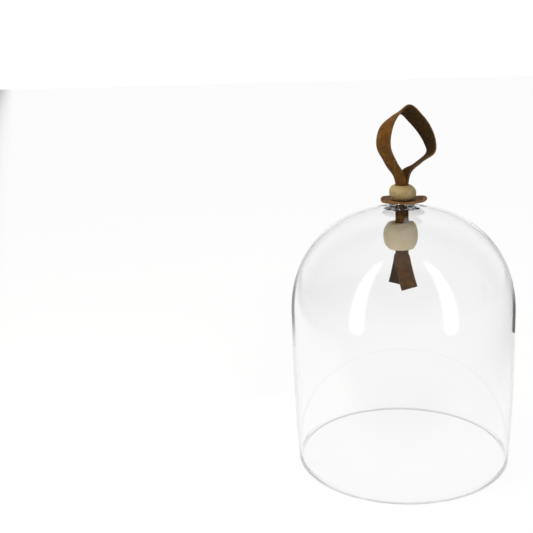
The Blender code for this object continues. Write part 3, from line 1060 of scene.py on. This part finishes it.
def paper_sweep():
    """Matt paper that is lit from below too: bright near the cloche, and dimmer further away."""
    material, tree = new_material("white_paper_sweep")
    place = add_node(tree, "ShaderNodeTexCoord").outputs["Object"]
    spot = add_node(tree, "ShaderNodeSeparateXYZ", {0: place}).outputs
    lit = smooth_range(tree, spot["Y"], *FRONT_FADE)
    for slant, fade in ((RIGHT_SLANT, RIGHT_FADE), (LEFT_SLANT, LEFT_FADE)):
        aside = add_node(
            tree, "ShaderNodeMath", {0: spot["Y"], 1: slant, 2: spot["X"]}, operation="MULTIPLY_ADD"
        ).outputs[0]
        lit = product(tree, lit, smooth_range(tree, aside, *fade))
    glow = add_node(
        tree, "ShaderNodeMapRange", {"Value": lit, "To Min": FLOOR_DIM, "To Max": FLOOR_BRIGHT}
    ).outputs[0]
    shader = add_node(
        tree,
        "ShaderNodeBsdfPrincipled",
        {
            "Base Color": linear("#5A5A5A"),
            "Roughness": 0.9,
            "Specular IOR Level": 0.0,
            "Emission Color": linear("#FFFFFF"),
            "Emission Strength": glow,
        },
    )
    tree.links.new(shader.outputs[0], tree.nodes["Material Output"].inputs["Surface"])
    return material


def add_floor(reach):
    """A square of the sweep, with the cloche in its middle."""
    corners = [(-reach, -reach, 0.0), (reach, -reach, 0.0), (reach, reach, 0.0), (-reach, reach, 0.0)]
    floor = add_card("floor", corners, paper_sweep())


add_floor(FLOOR_REACH)
print("sweep:", 2 * FLOOR_REACH, "m square")

# %% The grey cards
CARD_INNER_FOOT = (0.150, 0.06, 0.002)  # x on the right, y and z of a card's four corners
CARD_INNER_TOP = (0.190, 0.44, 0.40)
CARD_OUTER_FOOT = (0.185, 0.05, 0.002)
CARD_OUTER_TOP = (0.330, 0.38, 0.40)
CARD_NEAR = 0.9  # glow at a card's foot
FLAG_FAR = 0.72  # glow at the far end of a card
CARD_RISE = (0.025, 0.075)  # where the glow rises again, above its darkest height


def flag_card(name, dark, start, full):
    """Grey card whose glow falls to its darkest between two heights and rises again further up."""
    material, tree = new_material(name)
    place = add_node(tree, "ShaderNodeTexCoord").outputs["Object"]
    height = add_node(tree, "ShaderNodeSeparateXYZ", {0: place}).outputs["Z"]
    falling = smooth_range(tree, height, start, full, CARD_NEAR, dark)
    rising = smooth_range(tree, height, full + CARD_RISE[0], full + CARD_RISE[1], dark, FLAG_FAR)
    strength = add_node(tree, "ShaderNodeMath", {0: falling, 1: rising}, operation="MAXIMUM").outputs[0]
    glow = add_node(tree, "ShaderNodeEmission", {"Color": linear("#FFFFFF"), "Strength": strength})
    clear = add_node(tree, "ShaderNodeBsdfTransparent")
    hidden = seen_straight(tree)
    mixed = add_node(tree, "ShaderNodeMixShader", {0: hidden, 1: glow.outputs[0], 2: clear.outputs[0]})
    tree.links.new(mixed.outputs[0], tree.nodes["Material Output"].inputs["Surface"])
    return material


def add_flag(name, side, start, material):
    """A card that leans back on one side behind the cloche; start is the share cut off at its foot."""
    places = (CARD_INNER_FOOT, CARD_INNER_TOP, CARD_OUTER_FOOT, CARD_OUTER_TOP)
    inner_foot, inner_top, outer_foot, outer_top = (Vector((side * x, y, z)) for x, y, z in places)
    corners = [inner_foot.lerp(inner_top, start), outer_foot.lerp(outer_top, start), outer_top, inner_top]
    flag = add_card(name, corners, material)
    flag.visible_camera = False
    flag.visible_diffuse = False


for name, side, start, glow in (
    ("left", -1, 0.16, {"dark": 0.36, "start": 0.065, "full": 0.100}),
    ("right", 1, 0.20, {"dark": 0.16, "start": 0.075, "full": 0.082}),
):
    add_flag(f"flag_{name}", side, start, flag_card(f"grey_card_{name}", **glow))
    print(name, "card:", glow)

# %% The key light
KEY_STRENGTH = 4.0
KEY_CORNERS = ((-0.9, -0.5, 0.9), (-0.3, -0.7, 1.2), (0.0, 0.1, 1.3), (-0.6, 0.3, 1.0))


def add_key_light():
    """A soft light above and to the left, which the glass neither mirrors nor passes on."""
    material, tree = new_material("key_cloth")
    glow = add_node(tree, "ShaderNodeEmission", {"Color": linear("#FFF4E2"), "Strength": KEY_STRENGTH})
    tree.links.new(glow.outputs[0], tree.nodes["Material Output"].inputs["Surface"])
    key = add_card("key_light", KEY_CORNERS, material)
    key.visible_camera = False
    key.visible_glossy = False
    key.visible_transmission = False


add_key_light()
print("key light at strength", KEY_STRENGTH)

# %% The room
SKY_DIM = 0.27
SKY_BRIGHT = 1.05
OVERHEAD = 0.15  # as a share of the way from the dim to the bright sky
SKY_BACK = 0.7  # likewise, high up behind the cloche
OVERHEAD_FADE = (0.86, 0.96)  # how steeply a ray rises
BACK_FADE = (0.35, 0.75)  # how straight back it goes
BACKDROP_FADE = (0.80, 0.88)  # the same for the brightest part, low behind the cloche
BACKDROP_TOP = (0.16, 0.09)  # how steeply a ray rises where that part ends


def add_sky():
    """A dim room, a little brighter overhead, with a bright backdrop behind the cloche."""
    world = bpy.data.worlds.new("studio")
    bpy.context.scene.world = world
    world.use_nodes = True
    tree = world.node_tree
    tree.nodes.clear()
    way = add_node(tree, "ShaderNodeTexCoord").outputs["Generated"]
    way = add_node(tree, "ShaderNodeSeparateXYZ", {0: way}).outputs
    overhead = smooth_range(tree, way["Z"], *OVERHEAD_FADE)
    overhead = add_node(tree, "ShaderNodeMath", {0: overhead, 1: OVERHEAD}, operation="MULTIPLY").outputs[0]
    far_back, low = smooth_range(tree, way["Y"], *BACKDROP_FADE), smooth_range(tree, way["Z"], *BACKDROP_TOP)
    behind = product(tree, far_back, low)
    high_behind = smooth_range(tree, way["Y"], *BACK_FADE, 0.0, SKY_BACK)
    behind = add_node(tree, "ShaderNodeMath", {0: behind, 1: high_behind}, operation="MAXIMUM").outputs[0]
    bright = add_node(tree, "ShaderNodeMath", {0: overhead, 1: behind}, operation="MAXIMUM").outputs[0]
    strength = add_node(
        tree, "ShaderNodeMapRange", {"Value": bright, "To Min": SKY_DIM, "To Max": SKY_BRIGHT}, clamp=False
    ).outputs[0]
    background = add_node(tree, "ShaderNodeBackground", {"Color": linear("#FFFFFF"), "Strength": strength})
    add_node(tree, "ShaderNodeOutputWorld", {"Surface": background.outputs[0]})


add_sky()
bpy.context.scene.view_settings.view_transform = "Standard"
print("room:", bpy.context.scene.world.name)

# %% The softboxes
SOFTBOX_STRENGTH = 5.4
SOFTBOX_FADE = 0.42  # how far in from each side the cloth reaches its full glow, as a share of the width
SOFTBOX_FOOT = 0.07  # the cloth is brightest here, as a share of the height
SOFTBOX_HEAD = 0.05  # and fades from here to its top
CLOTH_SOLID = 0.15  # the cloth is see-through where it glows less than this
SOFTBOX_DISTANCE = 0.56
SOFTBOX_WIDTH = 0.19
SOFTBOX_HEIGHT = 1.7
SOFTBOX_LOW = 0.01
SOFTBOX_RIGHT = 44.0  # degrees to the right of straight ahead of the cloche
SOFTBOX_LEFT = -41.0


def softbox_cloth():
    """Cloth that glows most in the middle near its foot and fades to its sides and its top."""
    material, tree = new_material("softbox_cloth")
    place = add_node(tree, "ShaderNodeTexCoord").outputs["UV"]
    across, up = add_node(tree, "ShaderNodeSeparateXYZ", {0: place}).outputs[:2]
    sides = product(
        tree, smooth_range(tree, across, 0.0, SOFTBOX_FADE), smooth_range(tree, across, 1.0, 1 - SOFTBOX_FADE)
    )
    ends = product(tree, smooth_range(tree, up, 0.0, SOFTBOX_FOOT), smooth_range(tree, up, 1.0, SOFTBOX_HEAD))
    lit = product(tree, sides, ends)
    shown = add_node(tree, "ShaderNodeMath", {0: lit, 1: SOFTBOX_STRENGTH}, operation="MULTIPLY").outputs[0]
    glow = add_node(tree, "ShaderNodeEmission", {"Color": linear("#FFFFFF"), "Strength": shown})
    clear = add_node(tree, "ShaderNodeBsdfTransparent")
    visible = add_node(tree, "ShaderNodeMath", {0: 1.0, 1: seen_straight(tree)}, operation="SUBTRACT")
    solid = product(tree, smooth_range(tree, lit, 0.0, CLOTH_SOLID), visible.outputs[0])
    mixed = add_node(tree, "ShaderNodeMixShader", {0: solid, 1: clear.outputs[0], 2: glow.outputs[0]})
    tree.links.new(mixed.outputs[0], tree.nodes["Material Output"].inputs["Surface"])
    return material


def add_softbox(name, azimuth, material):
    """A tall soft light in front of the cloche."""
    around = radians(azimuth)
    foot = Vector((SOFTBOX_DISTANCE * sin(around), -SOFTBOX_DISTANCE * cos(around), SOFTBOX_LOW))
    aside = Vector((cos(around), sin(around), 0.0)) * SOFTBOX_WIDTH / 2
    top = Vector((0.0, 0.0, SOFTBOX_HEIGHT))
    box = add_card(name, [foot - aside, foot + aside, foot + aside + top, foot - aside + top], material)
    uv = box.data.uv_layers.new(name="cloth")
    for corner, spot in zip(uv.data, ((0, 0), (1, 0), (1, 1), (0, 1))):
        corner.uv = spot
    box.visible_camera = False


cloth = softbox_cloth()
add_softbox("softbox_right", SOFTBOX_RIGHT, cloth)
add_softbox("softbox_left", SOFTBOX_LEFT, cloth)
print("softboxes at", SOFTBOX_RIGHT, "and", SOFTBOX_LEFT, "degrees")
